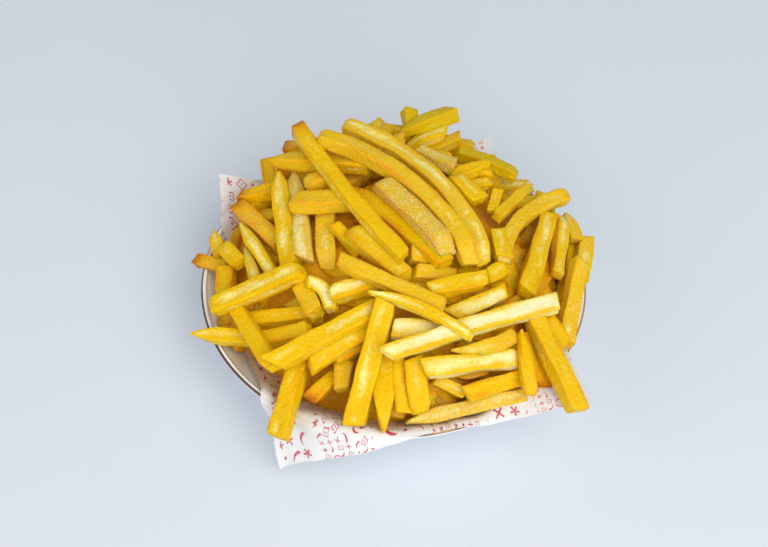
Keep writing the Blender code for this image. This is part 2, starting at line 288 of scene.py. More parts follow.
def drape(flat):
    """Where a point of the flat sheet ends up."""
    walked = flat.length
    flat_angle = math.atan2(flat.y, flat.x)
    angle = gathered(flat_angle, walked)
    lift = SHEET_LIFT + pleats(walked, flat_angle, flat)
    distances, radii, heights = WALL_CURVE
    lip = distances[-1]
    outward = Vector((math.cos(angle), math.sin(angle), 0))
    if walked <= lip:
        radius = np.interp(walked, distances, radii)
        height = np.interp(walked, distances, heights)
        slope = math.atan2(height - np.interp(walked - MM, distances, heights), MM)
        slope = slope * min(1, (lip - walked) / LIP_CURL) if walked > lip - LIP_CURL else slope
    else:
        past = walked - lip
        slope = -math.radians(hang(angle)) * min(1, past / LIP_CURL)
        radius = radii[-1] + past * math.cos(slope)
        height = heights[-1] + past * math.sin(slope)
    off = outward * -math.sin(slope) + Vector((0, 0, math.cos(slope)))
    return outward * radius + Vector((0, 0, height)) + off * lift


WALL_CURVE = wall_curve()


def node_group(name, inputs, outputs):
    """An empty node group, the values that come into it and the node that takes its results."""
    group = bpy.data.node_groups.new(name, "ShaderNodeTree")
    for in_out, sockets in (("INPUT", inputs), ("OUTPUT", outputs)):
        for socket, kind in sockets.items():
            group.interface.new_socket(name=socket, in_out=in_out, socket_type="NodeSocket" + kind)
    return group, group.nodes.new("NodeGroupInput").outputs, group.nodes.new("NodeGroupOutput")


def printed_motifs():
    """Node group: loose rows of little stars, crosses, dots, flowers and brush strokes."""
    inputs = {"Sheet": "Vector", "Spacing": "Float"}
    group, start, end = node_group("printed_motifs", inputs, {"Ink": "Float"})
    cells = add(group, "VectorMath", {0: start["Sheet"], 3: 1.0}, operation="SCALE")
    group.links.new(maths(group, "DIVIDE", 1.0, start["Spacing"]), cells.inputs["Scale"])
    cell = add(group, "VectorMath", {0: cells.outputs[0]}, operation="FLOOR").outputs[0]
    inside = add(group, "VectorMath", {0: cells.outputs[0]}, operation="FRACTION").outputs[0]
    chance = add(group, "TexWhiteNoise", {"Vector": cell}, noise_dimensions="2D")
    picks = add(group, "SeparateColor", {0: chance.outputs["Color"]}).outputs
    which, spin, size = picks[0], picks[1], picks[2]
    centred = add(group, "VectorMath", {0: inside, 1: (0.5, 0.5, 0)}, operation="SUBTRACT").outputs[0]
    angle = product(group, spin, 2 * math.pi)
    turned_cell = add(group, "VectorRotate", {"Vector": centred, "Angle": angle}, rotation_type="Z_AXIS")
    place = add(group, "SeparateXYZ", {0: turned_cell.outputs[0]}).outputs
    x, y = place["X"], place["Y"]
    across = maths(group, "ABSOLUTE", x)
    along = maths(group, "ABSOLUTE", y)
    out = add(group, "VectorMath", {0: turned_cell.outputs[0]}, operation="LENGTH").outputs["Value"]
    bearing = maths(group, "ARCTAN2", y, x)

    def filled(distance, reach):
        return maths(group, "LESS_THAN", distance, reach)

    def between(value, low, high):
        return product(group, filled(value, high), maths(group, "GREATER_THAN", value, low))

    cross = product(group, filled(maths(group, "MINIMUM", across, along), 0.06),
                    filled(maths(group, "MAXIMUM", across, along), 0.36))
    points = maths(group, "COSINE", product(group, bearing, 5.0))
    star = filled(out, maths(group, "MULTIPLY_ADD", points, 0.11, 0.22))
    dot = filled(out, maths(group, "MULTIPLY_ADD", size, 0.09, 0.08))
    lobes = maths(group, "COSINE", product(group, bearing, 4.0))
    petals = maths(group, "MULTIPLY_ADD", lobes, 0.07, 0.3)
    flower = filled(maths(group, "ABSOLUTE", maths(group, "SUBTRACT", out, petals)), 0.05)
    flower = maths(group, "MAXIMUM", flower, filled(out, 0.08))
    bow = product(group, product(group, y, y), 0.9)
    brush = maths(group, "MULTIPLY_ADD", y, 0.1, 0.085)
    off_bow = maths(group, "ABSOLUTE", maths(group, "SUBTRACT", x, bow))
    stroke = product(group, filled(along, 0.44), filled(off_bow, brush))
    shares = ((cross, 0.0, 0.16), (star, 0.16, 0.34), (dot, 0.34, 0.46), (flower, 0.46, 0.72),
              (stroke, 0.72, 1.0))
    ink = 0.0
    for motif, low, high in shares:
        shown = product(group, motif, between(which, low, high))
        ink = maths(group, "MAXIMUM", ink, shown)
    group.links.new(ink, end.inputs["Ink"])
    return group


def greaseproof_paper():
    """Thin waxy paper: faint fibres, print soaked in unevenly, grease spots tinted darker and yellower where
    the paper has gone clear.
    """
    material, tree, shader = finish_material("greaseproof_paper", 0.5, Alpha=0.84, Coat_Weight=0.15,
                                             Coat_Roughness=0.35)
    sheet = add(tree, "UVMap", uv_map="cut").outputs[0]
    drawn_out = add(tree, "VectorMath", {0: sheet, 1: (1, 0.35, 1)}, operation="MULTIPLY").outputs[0]
    fibres = grain(tree, drawn_out, 1.2 * MM, 4, 0.7)
    grease = span(tree, grain(tree, sheet, 26 * MM, 4, 0.6), 0.52, 0.66)
    white = blend(tree, fibres, PAPER_WHITE, PAPER_FIBRE)
    white = blend(tree, product(tree, grease, 0.35), white, GREASE)
    fine, large = [add(tree, "Group", {"Sheet": sheet, "Spacing": spacing}, node_tree=MOTIFS).outputs[0]
                   for spacing in PRINT_SPACINGS]
    sideways = add(tree, "SeparateXYZ", {0: sheet}).outputs["X"]
    bands = maths(tree, "SINE", product(tree, sideways, 105.0))
    in_band = maths(tree, "GREATER_THAN", bands, 0.15)
    beside = maths(tree, "LESS_THAN", bands, -0.35)
    ink = maths(tree, "MAXIMUM", product(tree, fine, in_band), product(tree, large, beside))
    soaked = product(tree, ink, span(tree, grain(tree, sheet, 1.6 * MM, 2), 0.3, 0.6, 0.82, 1.0))
    tree.links.new(blend(tree, soaked, white, CRIMSON), shader.inputs["Base Color"])
    tree.links.new(span(tree, fibres, 0.2, 0.8, 0.42, 0.6), shader.inputs["Roughness"])
    bumped(tree, shader, fibres, 0.12 * MM, 0.6)
    return material


MOTIFS = printed_motifs()

columns = round(SHEET_WIDTH / SHEET_CELL)
rows = round(SHEET_LENGTH / SHEET_CELL)
flat_points = []
sheet_points = []
cos, sin = math.cos(SHEET_TURN), math.sin(SHEET_TURN)
for row in range(rows + 1):
    for column in range(columns + 1):
        cut = Vector((SHEET_WIDTH * (column / columns - 0.5), SHEET_LENGTH * (row / rows - 0.5)))
        flat_points.append(cut)
        laid = Vector((cut.x * cos - cut.y * sin, cut.x * sin + cut.y * cos)) + SHEET_OFFSET
        sheet_points.append(drape(laid))
sheet_faces = []
for row in range(rows):
    for column in range(columns):
        corner = row * (columns + 1) + column
        sheet_faces.append((corner, corner + 1, corner + columns + 2, corner + columns + 1))
paper = smooth_body("greaseproof_sheet", sheet_points, sheet_faces)
cut_map = paper.data.uv_layers.new(name="cut")
for loop in paper.data.loops:
    cut_map.data[loop.index].uv = flat_points[loop.vertex_index]
paper.data.materials.append(greaseproof_paper())
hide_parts("paper_liner")
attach(paper, "root")

# -----------------------------------------------------------------------------
# THE FRIES
# Floury potatoes cut by hand into bars about 9 mm square, blanched and fried in oil, each with
# its own cut and a crisp skin that browns first at tips and edges. They lie as they fell, limp
# and pressed a little into each other, so they are settled onto one another, then shaped.
# -----------------------------------------------------------------------------
HEAP_TOP = 58  # over the lip, in mm like every length in this section
HEAP_REACH = 112  # where the heap's surface comes down to the lip
HEAP_BACK = 8  # how far behind the dish's middle the heap's middle lies
HEAP_SWELL = 2.2
FRY_STEPS = 8
THICKNESS_SHARE = 0.88  # of a fry's width
LIMPNESS = 0.15  # how far a fry follows the heap's curve, from 0 to 1
LEAN = 0.6  # how far it rolls onto the heap's slope, from 0 to 1
CROSSING = 0.55  # two fries touch nearer than this share of their mean width
SQUASH = 2.0
SETTLING = 120  # rounds of easing apart
YIELD = 0.3  # share of an overlap that each of two fries gives way in one round
HOLD = 0.06  # pull back to the height given, in one round

# Each fry from the lowest up: x, y and top of its two ends, its width, how far it bows to the
# left, its tone (-1 pale as cream, 0 golden, 1 amber) and its cut: a letter for each end, then
# f if its face is rough and floury, or o if it is a greener yellow.
# Ends: s square, t slanting, r rounded, p tapering, b square and browned, k tapering and browned.
FRIES = (
    # low ones round the left of the dish
    (-66, 62, 22, -34, 78, 28, 10, 0, 0.5, "ss"),
    (-108, 11, 5, -89, 4, 10, 7, 0, 0.6, "bs"),
    (-99, 27, 11, -94, 10, 11, 7, 0, 0, "ps"),
    (-85, 40, 19, -64, 40, 31, 8, 0, 0.3, "bs"),
    (-61, 75, 24, -38, 68, 35, 9, 0, 0.3, "bs"),
    (-77, 31, 18, -63, 22, 27, 9, 0, 0.1, "bs"),
    (-106, -42, 7, -72, -50, 13, 8, 0, 0, "ps"),
    (-90, 1, 9, -90, -17, 8, 9, 0, 0.2, "ss"),
    (-69, -54, 17, -43, -58, 31, 8, 0, 0.3, "ss"),
    (-75, -40, 16, -37, -45, 28, 8, 0, 0.1, "ss"),
    (-93, 12, 14, -82, -4, 19, 9, 0, 0, "rs"),
    (-85, 33, 22, -60, 1, 29, 9, 0, 0.7, "bs"),
    (-80, 5, 21, -71, -23, 21, 7, 0, -0.1, "ps"),
    (-83, 20, 24, -60, -26, 29, 7, 0, -0.2, "ps"),
    (-81, -36, 18, -61, -75, 21, 8, 0, 0, "sr"),
    (-43, -83, 4, -29, -71, 12, 8, 0, 0.5, "bs"),
    (-25, -67, 19, -26, -82, 11, 9, 0, 0.3, "ss"),
    (-30, -70, 20, -12, -60, 26, 8, 0, 0.2, "ss"),
    (-49, -69, 17, -58, -107, 7, 10, 0, 0, "ss"),
    (-36, 14, 39, -35, -22, 38, 10, 0, -0.1, "sc"),
    (-54, 49, 31, -47, -15, 34, 10, 0, -0.5, "ptf"),
    (-63, 48, 35, -54, -18, 33, 10, 0, -0.5, "ps"),
    (-47, 27, 46, -32, 33, 43, 8, 0, 0, "rs"),
    (-55, 16, 42, -21, 14, 45, 10, 0, 0.2, "rs"),
    (-67, 52, 39, -12, 38, 47, 10, 0, 0.1, "ps"),
    (-47, -30, 33, -40, -49, 32, 10, 0, 0, "ss"),
    (-45, -32, 37, -32, -48, 36, 7, 4, -0.5, "ss"),
    (-95, -35, 19, -47, -26, 40, 10, 0, -0.3, "rr"),
    (-42, -76, 21, -13, -59, 31, 8, 0, -0.3, "ss"),
    (-61, -77, 27, -9, -52, 40, 10, 0, 0, "ts"),
    (-32, -43, 37, -8, -36, 41, 9, 0, -0.7, "rs"),
    # the front
    (7, -98, 7, 65, -82, 7, 8, 0, -0.4, "psf"),
    (-6, -71, 25, -5, -105, 10, 10, 0, 0, "sp"),
    (1, -71, 24, 5, -96, 12, 8, 0, 0.3, "ss"),
    (9, -73, 28, 13, -97, 14, 10, 0, 0.1, "sr"),
    (20, -79, 16, 35, -84, 11, 6, 0, 0, "ss"),
    (36, -89, 17, 65, -75, 13, 8, 0, 0.2, "ss"),
    (16, -76, 25, 46, -70, 23, 6, 0, -0.2, "ps"),
    (15, -81, 24, 64, -69, 18, 9, 0, -1.2, "sr"),
    (-5, -53, 45, -20, -103, 12, 11, 0, 0, "ss"),
    (29, -70, 29, 62, -58, 26, 8, -4, 0, "pr"),
    # the right
    (100, 24, 5, 91, -22, 7, 8, 0, 0, "ss"),
    (106, 22, 9, 100, -9, 12, 9, 0, -0.1, "ts"),
    (96, 39, 13, 99, 17, 15, 9, 0, 0, "ps"),
    (99, -3, 20, 89, -50, 9, 9, 0, -0.1, "ss"),
    (68, -52, 20, 76, -77, 7, 8, 0, 0.9, "sb"),
    (64, -59, 30, 68, -89, 16, 7, 0, 0.5, "pr"),
    (77, -44, 22, 88, -56, 14, 9, 0, 0, "ss"),
    (72, -49, 28, 92, -95, 13, 10, 0, 0, "ss"),
    (66, 31, 29, 87, 39, 21, 9, 0, 0.3, "rso"),
    (94, 32, 19, 87, -12, 19, 7, 0, 0, "cs"),
    (85, 28, 22, 68, -34, 31, 10, 0, -0.1, "ss"),
    (57, -12, 36, 97, 43, 22, 8, 8, -0.1, "sr"),
    (47, -29, 38, 58, -21, 35, 9, 0, -0.3, "ss"),
    (54, -2, 41, 57, -20, 41, 9, 0, -0.5, "ss"),
    # the back
    (-6, 88, 29, 46, 77, 29, 10, 0, 0.5, "ss"),
    (36, 64, 34, 68, 49, 28, 8, 0, 0.3, "sro"),
    (1, 82, 32, 15, 81, 30, 7, 0, -0.2, "ss"),
    (9, 95, 37, 11, 78, 34, 8, 0, 0.1, "spo"),
    (20, 68, 32, 37, 80, 31, 8, 0, 0, "st"),
    (5, 74, 39, 34, 90, 41, 9, 0, 0.2, "pso"),
    (8, 68, 37, 30, 79, 37, 8, 0, -0.2, "ct"),
    (56, 31, 39, 52, 17, 37, 6, 0, 0, "ss"),
    (55, 13, 37, 77, 48, 25, 6, 0, 0.1, "sp"),
    (30, 27, 44, 51, 35, 40, 6, 0, -0.3, "cs"),
    (31, 36, 42, 53, 47, 38, 7, 0, 0.1, "sp"),
    (13, 55, 45, 33, 42, 46, 8, 0, -0.2, "ssf"),
    (31, 32, 47, 45, 16, 47, 9, 0, -0.1, "rs"),
    # the middle
    (18, -45, 45, 46, -35, 43, 8, 0, 0, "ss"),
    (10, -32, 46, 31, -30, 42, 8, 0, 0.2, "ss"),
    (8, -21, 47, 20, -22, 42, 9, 0, 0.1, "sb"),
    (-32, 0, 46, -18, -16, 41, 6, 0, 0, "ss"),
    (-23, -7, 48, 6, -36, 46, 9, 0, 0.2, "rs"),
    (-1, -63, 38, 27, -60, 32, 10, 0, -1.4, "ss"),
    (29, -52, 35, 57, -38, 36, 8, 0, -1.3, "ts"),
    (-4, -81, 42, 84, -41, 33, 9, 0, -1.4, "ts"),
    (-13, -50, 47, 38, -71, 38, 6, 3, -0.5, "pr"),
    (-27, -29, 49, 25, -55, 45, 8, 0, 0.1, "ss"),
    # the long ones over the top
    (-23, 25, 48, 26, -28, 45, 10, 0, 0.5, "ps"),
    (-8, 23, 55, 28, -25, 52, 11, 1, 0.35, "rcf"),
    (-27, 64, 56, 47, -25, 45, 10, 14, -0.1, "rc"),
    (-40, 51, 61, 40, -28, 48, 9, 13, -0.05, "rc"),
    (-53, 65, 54, 5, -29, 53, 8, -3, 0, "bs"),
)

# Fries laid round the back in tiers: distance of their middles from the heap's middle,
# height over the lip, how many, and the first and last bearing in degrees from the right.
BACK_TIERS = (
    (80, 12, 14, 15, 150),
    (64, 24, 11, 25, 150),
    (45, 35, 7, 35, 145),
)
BACK_SEED = 7
BACK_WIDTHS = (8, 11)
BACK_HALF_LENGTHS = (21, 34)
BACK_TURN = 55
BACK_SCATTER = 5
BACK_TILT = 4
BACK_BOW = 3
BACK_TONES = (-0.5, 0.6)
BACK_ENDS = "sscrtpc", "scsrtpk"


def mound(x, y):
    """Height of the heap's smooth surface over the lip."""
    reach = np.hypot(x, y - HEAP_BACK) / HEAP_REACH
    return HEAP_TOP * (1 - reach ** HEAP_SWELL)


class Fry:
    """One fry: a centre line in plan, the height of its two ends, and how it sags over the heap."""

    share = np.linspace(0, 1, FRY_STEPS + 1)

    def __init__(self, x1, y1, z1, x2, y2, z2, width, bow, tone=0.0, cut="ss"):
        way = np.array((x2 - x1, y2 - y1), float)
        left = np.array((-way[1], way[0])) / np.hypot(*way)
        arc = 4 * self.share * (1 - self.share)
        self.plan = np.array((x1, y1), float) + np.outer(self.share, way) + np.outer(bow * arc, left)
        self.width = width
        self.thickness = width * THICKNESS_SHARE
        self.given = np.array((z1, z2)) - self.thickness / 2
        self.ends = self.given.copy()
        self.left = left
        self.tone = tone
        self.cut = cut
        under = mound(self.plan[:, 0], self.plan[:, 1])
        straight = under[0] + (under[-1] - under[0]) * self.share
        self.sag = LIMPNESS * np.clip(under - straight, 0, None)
        middle = self.plan[len(self.share) // 2]
        rise = mound(*(middle + left)) - mound(*(middle - left))
        self.roll = LEAN * math.atan(rise / 2)

    def heights(self):
        return self.ends[0] + (self.ends[1] - self.ends[0]) * self.share + self.sag

    def push(self, step, lift):
        """Moves the fry up by lift at one of its steps, tilting it about the far end."""
        weight = np.array((1 - self.share[step], self.share[step]))
        self.ends += lift * weight / (weight @ weight)


def behind():
    """Rows for the fries round the back, tier on tier, most of them lying round the heap."""
    chance = random.Random(BACK_SEED)
    rows = []
    for distance, height, count, first, last in BACK_TIERS:
        for i in range(count):
            bearing = math.radians(first + (last - first) * (i + chance.uniform(0.2, 0.8)) / count)
            heading = bearing + math.radians(90 + chance.uniform(-BACK_TURN, BACK_TURN))
            reach = distance + chance.uniform(-BACK_SCATTER, BACK_SCATTER)
            middle = Vector((reach * math.cos(bearing), HEAP_BACK + reach * math.sin(bearing)))
            half = Vector((math.cos(heading), math.sin(heading))) * chance.uniform(*BACK_HALF_LENGTHS)
            tilt = chance.uniform(-BACK_TILT, BACK_TILT)
            one, other = middle - half, middle + half
            shape = chance.uniform(*BACK_WIDTHS), chance.uniform(-BACK_BOW, BACK_BOW)
            rows.append((*one, height - tilt, *other, height + tilt, *shape))
    looks = random.Random(BACK_SEED)
    return [(*row, looks.uniform(*BACK_TONES), "".join(map(looks.choice, BACK_ENDS))) for row in rows]


def settled(rows):
    """The fries with their heights eased apart where one crosses another."""
    fries = [Fry(*row) for row in rows]
    touching = []
    for upper_index, upper in enumerate(fries):
        for lower in fries[:upper_index]:
            apart = np.linalg.norm(upper.plan[:, None] - lower.plan[None], axis=2)
            for step, row in enumerate(apart):
                if row.min() < CROSSING * (upper.width + lower.width) / 2:
                    touching.append((upper, step, lower, int(row.argmin())))
    for _ in range(SETTLING):
        for upper, step, lower, other in touching:
            room = (upper.thickness + lower.thickness) / 2 - SQUASH
            short = room - (upper.heights()[step] - lower.heights()[other])
            if short > 0:
                upper.push(step, YIELD * short)
                lower.push(other, -YIELD * short)
        for fry in fries:
            fry.ends += (fry.given - fry.ends) * HOLD
    return fries


def section(flat_points, corner_points=3, corner=0.085):
    """A square with rounded corners, side 1: its points, and how near each is to a corner."""
    points = []
    for quarter in range(4):
        turn = math.pi / 2 * quarter
        spin = np.array(((math.cos(turn), -math.sin(turn)), (math.sin(turn), math.cos(turn))))
        for i in range(corner_points):
            angle = math.pi / 2 * i / (corner_points - 1)
            point = 0.5 - corner + corner * math.cos(angle), 0.5 - corner + corner * math.sin(angle)
            points.append((*(spin @ point), 1.0))
        for i in range(flat_points):
            along = (0.5 - corner) * (1 - 2 * (i + 1) / (flat_points + 1))
            points.append((*(spin @ (along, 0.5)), (abs(along) / (0.5 - corner)) ** 2 * 0.7))
    return np.array(points)


# Of each kind of end: the width and thickness left at the tip, the length over which it
# narrows, how much of that is taken off its top, how steeply it is cut across, how brown it is.
ENDS = {
    "s": (0.95, 0.95, 1.0, 0.0, 0.22, 0.12),
    "t": (0.94, 0.94, 1.0, 0.0, 0.7, 0.15),
    "c": (0.8, 0.3, 10.0, 1.0, 0.3, 0.2),
    "r": (0.7, 0.66, 3.6, 0.4, 0.12, 0.2),
    "p": (0.2, 0.6, 17.0, 0.5, 0.3, 0.3),
    "b": (0.9, 0.88, 1.8, 0.2, 0.25, 1.0),
    "k": (0.2, 0.55, 15.0, 0.5, 0.25, 1.0),
}
END_RAKE = 0.45  # how far an end may lean forwards or backwards
RAKE_REACH = 5  # how far from the tip that fades out
SLANT_REACH = 6  # the same for a slanting cut
TIP_BROWNING = 2.5  # the same for the browning of a plain end
DEEP_BROWNING = 7  # and of a browned one
RIM_BROWNING = 0.8  # and for the crisp rim at the very tip
END_RINGS = ((0.8, 0.25), (0.45, 0.35))  # rings on its end face: their size and their bulge
SMOOTHING = 3  # rounds of smoothing a fry's centre line
PAPER_ROOM = 1.6  # from the dish to the upper face of the paper
LIP_FALL = 0.8  # how steeply a fry may hang down past the lip
SKIN_BUMPS = ((5.0, 0.22), (1.8, 0.12))  # size and height of the lumps on a fry's skin
HAND_CUT = 0.06  # how far its corners wander, over its width
WANDER = 18  # length over which they do
SHRINK = (0.005, 0.05)  # how hollow its faces are, over its width
OFF_SQUARE = 0.12  # how far its section leans and narrows upwards
NARROWING = 0.12  # how much wider it is at one end
TWIST = 0.35  # radians from end to end
FACE_TONES = 0.3  # how far one face's tone is from the next one's
UPPER_FACE_PAINTED_LIGHT = 0.14  # painted light: how much paler the upper face is painted than the sides, as if lit from above


def wall_height(radius):
    """Height over the lip of the paper's upper face, for things that lie on it."""
    points = np.array(inner_face())
    return (np.interp(radius, points[:, 0], points[:, 1]) - LIP_HEIGHT) / MM + PAPER_ROOM


def centre_line(fry, spacing):
    """Distances along a fry, closer at its tips, the places there and the directions."""
    step_lengths = np.hypot(*np.diff(fry.plan, axis=0).T)
    run = np.concatenate(([0], np.cumsum(np.hypot(step_lengths, np.diff(fry.heights())))))
    length = run[-1]
    along = np.linspace(0, length, max(6, round(length / spacing) + 1))
    along = np.unique(np.concatenate(([0.25, 0.9, length - 0.9, length - 0.25], along)))
    line = np.column_stack([np.interp(along, run, axis) for axis in (*fry.plan.T, fry.heights())])
    for _ in range(SMOOTHING):
        padded = np.concatenate((2 * line[:1] - line[1:2], line, 2 * line[-1:] - line[-2:-1]))
        line = padded[:-2] * 0.25 + padded[1:-1] * 0.5 + padded[2:] * 0.25
    forward = np.gradient(line, axis=0)
    forward /= np.linalg.norm(forward, axis=1)[:, None]
    left = np.cross((0, 0, 1), forward)
    left /= np.linalg.norm(left, axis=1)[:, None]
    return along, line, forward, left, np.cross(forward, left)


def kept_above(verts):
    """Raises what would sink into the paper, and past the lip lets it hang down a little."""
    radius = np.hypot(verts[:, 0], verts[:, 1]) * MM
    past_lip = np.maximum(radius - LIP_RADIUS, 0) / MM
    floor = wall_height(np.minimum(radius, LIP_RADIUS - WALL)) - past_lip * LIP_FALL
    verts[:, 2] = np.maximum(verts[:, 2], floor)
    return verts


def closed(rings, first, last):
    """Faces through a row of rings and on to the single point before them and the one after."""
    count = len(rings[0])
    faces = []
    for i in range(count):
        j = (i + 1) % count
        faces.append((rings[0][j], rings[0][i], first))
        faces.append((last, rings[-1][i], rings[-1][j]))
        for ring, following in zip(rings, rings[1:]):
            faces.append((ring[i], ring[j], following[j], following[i]))
    return faces


def shape_fry(fry, spacing, ring_of_points, chance):
    """The skin of one fry: vertices in metres, faces, and each vertex's crust and place in the grain."""
    along, line, forward, left, up = centre_line(fry, spacing)
    length = along[-1]
    seed = chance.uniform(0, 1000)
    twist = chance.uniform(-TWIST, TWIST)
    roll = fry.roll + twist * (along / length - 0.5)
    side = left * np.cos(roll)[:, None] + up * np.sin(roll)[:, None]
    top = up * np.cos(roll)[:, None] - left * np.sin(roll)[:, None]

    wide, thick = np.ones((2, len(along)))
    brown, slant, rake, lowered = np.zeros((4, len(along)))
    for letter, distance, sign in ((fry.cut[0], along, 1), (fry.cut[1], length - along, -1)):
        width_left, thickness_left, over, topside, steepness, browned = ENDS[letter]
        over = min(over, length * 0.45)
        near = np.clip(1 - distance / over, 0, 1)
        curve = near ** (1.3 if letter in "pkc" else 2)
        wide *= 1 - (1 - width_left) * curve
        thick *= 1 - (1 - thickness_left) * curve
        lowered += topside * (1 - thickness_left) * curve * fry.thickness / 2
        rake += sign * chance.uniform(-END_RAKE, END_RAKE) * np.exp(-distance / RAKE_REACH)
        browning = DEEP_BROWNING if browned > 0.5 else TIP_BROWNING
        brown = np.maximum(brown, browned * np.exp(-distance / browning))
        slant += sign * steepness * chance.choice((-1, 1)) * np.exp(-distance / SLANT_REACH)

    wide *= 1 + chance.uniform(-NARROWING, NARROWING) * (along / length - 0.5)
    lean = chance.uniform(-OFF_SQUARE, OFF_SQUARE)
    wedge = chance.uniform(-OFF_SQUARE, OFF_SQUARE)
    hollow = [chance.uniform(*SHRINK) for _ in range(4)]
    face_tone = [fry.tone + chance.uniform(-FACE_TONES, FACE_TONES) for _ in range(4)]
    # painted light: the upper face is painted paler than the sides
    face_tone[0] -= UPPER_FACE_PAINTED_LIGHT
    start = np.array([chance.uniform(0, 1) for _ in range(3)])
    fibre = []
    verts = []
    crust = []
    count = len(ring_of_points)
    for ring in range(len(along)):
        drift = [noise.noise(Vector((along[ring] / WANDER, corner * 9.7, seed))) * HAND_CUT * 2
                 for corner in range(8)]
        for i, (x, y, cornered) in enumerate(ring_of_points):
            sunk = 1 - hollow[(4 * i) // count] * (1 - cornered) * 2
            corner_x = drift[2 * (x <= 0) + (y <= 0)]
            corner_y = drift[4 + 2 * (y <= 0) + (x <= 0)]
            across = (x * (1 - wedge * y) * sunk + lean * y + corner_x * abs(x) * 2) * wide[ring] * fry.width
            over = (y * sunk + corner_y * abs(y) * 2) * thick[ring] * fry.thickness - lowered[ring]
            leaning = slant[ring] * across + rake[ring] * over
            point = line[ring] + side[ring] * across + top[ring] * over + forward[ring] * leaning
            outward = side[ring] * x + top[ring] * y
            outward /= np.linalg.norm(outward)
            for size, height in SKIN_BUMPS:
                point = point + outward * noise.noise(Vector(point / size) + Vector((seed, 0, 0))) * height
            verts.append(point)
            edge = max(cornered, math.exp(-min(along[ring], length - along[ring]) / RIM_BROWNING))
            crust.append((face_tone[(4 * i) // count], edge, brown[ring]))
            fibre.append(start + np.array((along[ring], across, over)) * MM)

    rings = [range(first, first + count) for first in range(0, len(verts), count)]
    tips = []
    for ring, sign in ((0, -1), (len(along) - 1, 1)):
        outer = np.array(verts[ring * count:(ring + 1) * count])
        middle = outer.mean(axis=0)
        for share, bulge in END_RINGS:
            inner = range(len(verts), len(verts) + count)
            rings = [inner, *rings] if sign < 0 else [*rings, inner]
            for point in outer:
                lump = noise.noise(Vector(point / 2.2) + Vector((0, seed, 0))) * 0.5
                verts.append(middle + (point - middle) * share + forward[ring] * sign * (bulge + lump))
                crust.append((fry.tone, 0.35 * share, brown[ring] * 0.8))
                fibre.append(start + (point - middle) * share * MM)
        tips.append(len(verts))
        verts.append(middle + forward[ring] * sign * 0.3)
        crust.append((fry.tone, 0.0, brown[ring] * 0.7))
        fibre.append(start)

    floury = 1.0 if "f" in fry.cut[2:] else max(0.0, chance.uniform(-0.3, 0.25))
    olive = 1.0 if "o" in fry.cut[2:] else 0.0
    crust = [(0.35 + 0.3 * tone, edge, browned, floury - olive) for tone, edge, browned in crust]
    return kept_above(np.array(verts)) * MM + (0, 0, LIP_HEIGHT), closed(rings, *tips), crust, fibre


def fried_body(name, verts, faces, crust, fibre, material):
    """A piece that keeps each vertex's crust values and its place in the grain of the potato."""
    piece = smooth_body(name, verts, faces)
    values = piece.data.attributes.new("crust", "FLOAT_COLOR", "POINT")
    values.data.foreach_set("color", np.array(crust, dtype=np.float32).ravel())
    places = piece.data.attributes.new("fibre", "FLOAT_VECTOR", "POINT")
    places.data.foreach_set("vector", np.array(fibre, dtype=np.float32).ravel())
    piece.data.materials.append(material)
    return piece


def heap_of(name, fries, spacing, ring_of_points, material, seed):
    """Joins the skins of many fries into one piece."""
    chance = random.Random(seed)
    all_verts = []
    all_faces = []
    all_crust = []
    all_fibre = []
    for fry in fries:
        verts, faces, crust, fibre = shape_fry(fry, spacing, ring_of_points, chance)
        first = len(all_crust)
        all_verts.append(verts)
        all_faces += [tuple(first + i for i in face) for face in faces]
        all_crust += crust
        all_fibre += fibre
    return fried_body(name, np.concatenate(all_verts), all_faces, all_crust, all_fibre, material)


def crust_marks():
    """Node group: where a fry's skin is browned, blistered, mealy or flecked."""
    inputs = {"Place": "Vector", "Blister Size": "Float", "Fleck Share": "Float"}
    outputs = dict.fromkeys(("Mottle", "Meal", "Blisters", "Flecks"), "Float")
    group, start, end = node_group("crust_marks", inputs, outputs)
    drawn_out = add(group, "VectorMath", {0: start["Place"], 1: (0.45, 1, 1)}, operation="MULTIPLY")
    patches = grain(group, drawn_out.outputs[0], 8 * MM, 3, 0.6)
    spots = grain(group, start["Place"], 2.2 * MM, 3, 0.65)
    mottle = maths(group, "MULTIPLY_ADD", patches, 0.7, product(group, spots, 0.3))
    meal = span(group, grain(group, start["Place"], 1.2 * MM, 2, 0.7), 0.44, 0.62)
    scale = maths(group, "DIVIDE", 1.0, start["Blister Size"])
    blister = add(group, "TexVoronoi", {"Vector": start["Place"], "Scale": scale}, feature="SMOOTH_F1")
    blisters = span(group, blister.outputs["Distance"], 0.1, 0.7, 1, 0)
    cells = add(group, "TexVoronoi", {"Vector": start["Place"], "Scale": 1 / (5 * MM)})
    chosen = maths(group, "LESS_THAN", add(group, "SeparateColor", {0: cells.outputs["Color"]}).outputs[0],
                   start["Fleck Share"])
    flecks = product(group, chosen, span(group, cells.outputs["Distance"], 0.03, 0.09, 1, 0))
    for name, value in zip(outputs, (mottle, meal, blisters, flecks)):
        group.links.new(value, end.inputs[name])
    return group


MARKS = crust_marks()
PALE = (0.95, 0.86, 0.52)
CREAM = (0.90, 0.75, 0.22)
GOLDEN = (0.82, 0.52, 0.002)
AMBER = (0.77, 0.35, 0.002)
TOASTED = (0.42, 0.12, 0.003)
OLIVE = (0.62, 0.45, 0.004)
MEAL = (0.97, 0.80, 0.36)
SCORCH = (0.10, 0.035, 0.01)


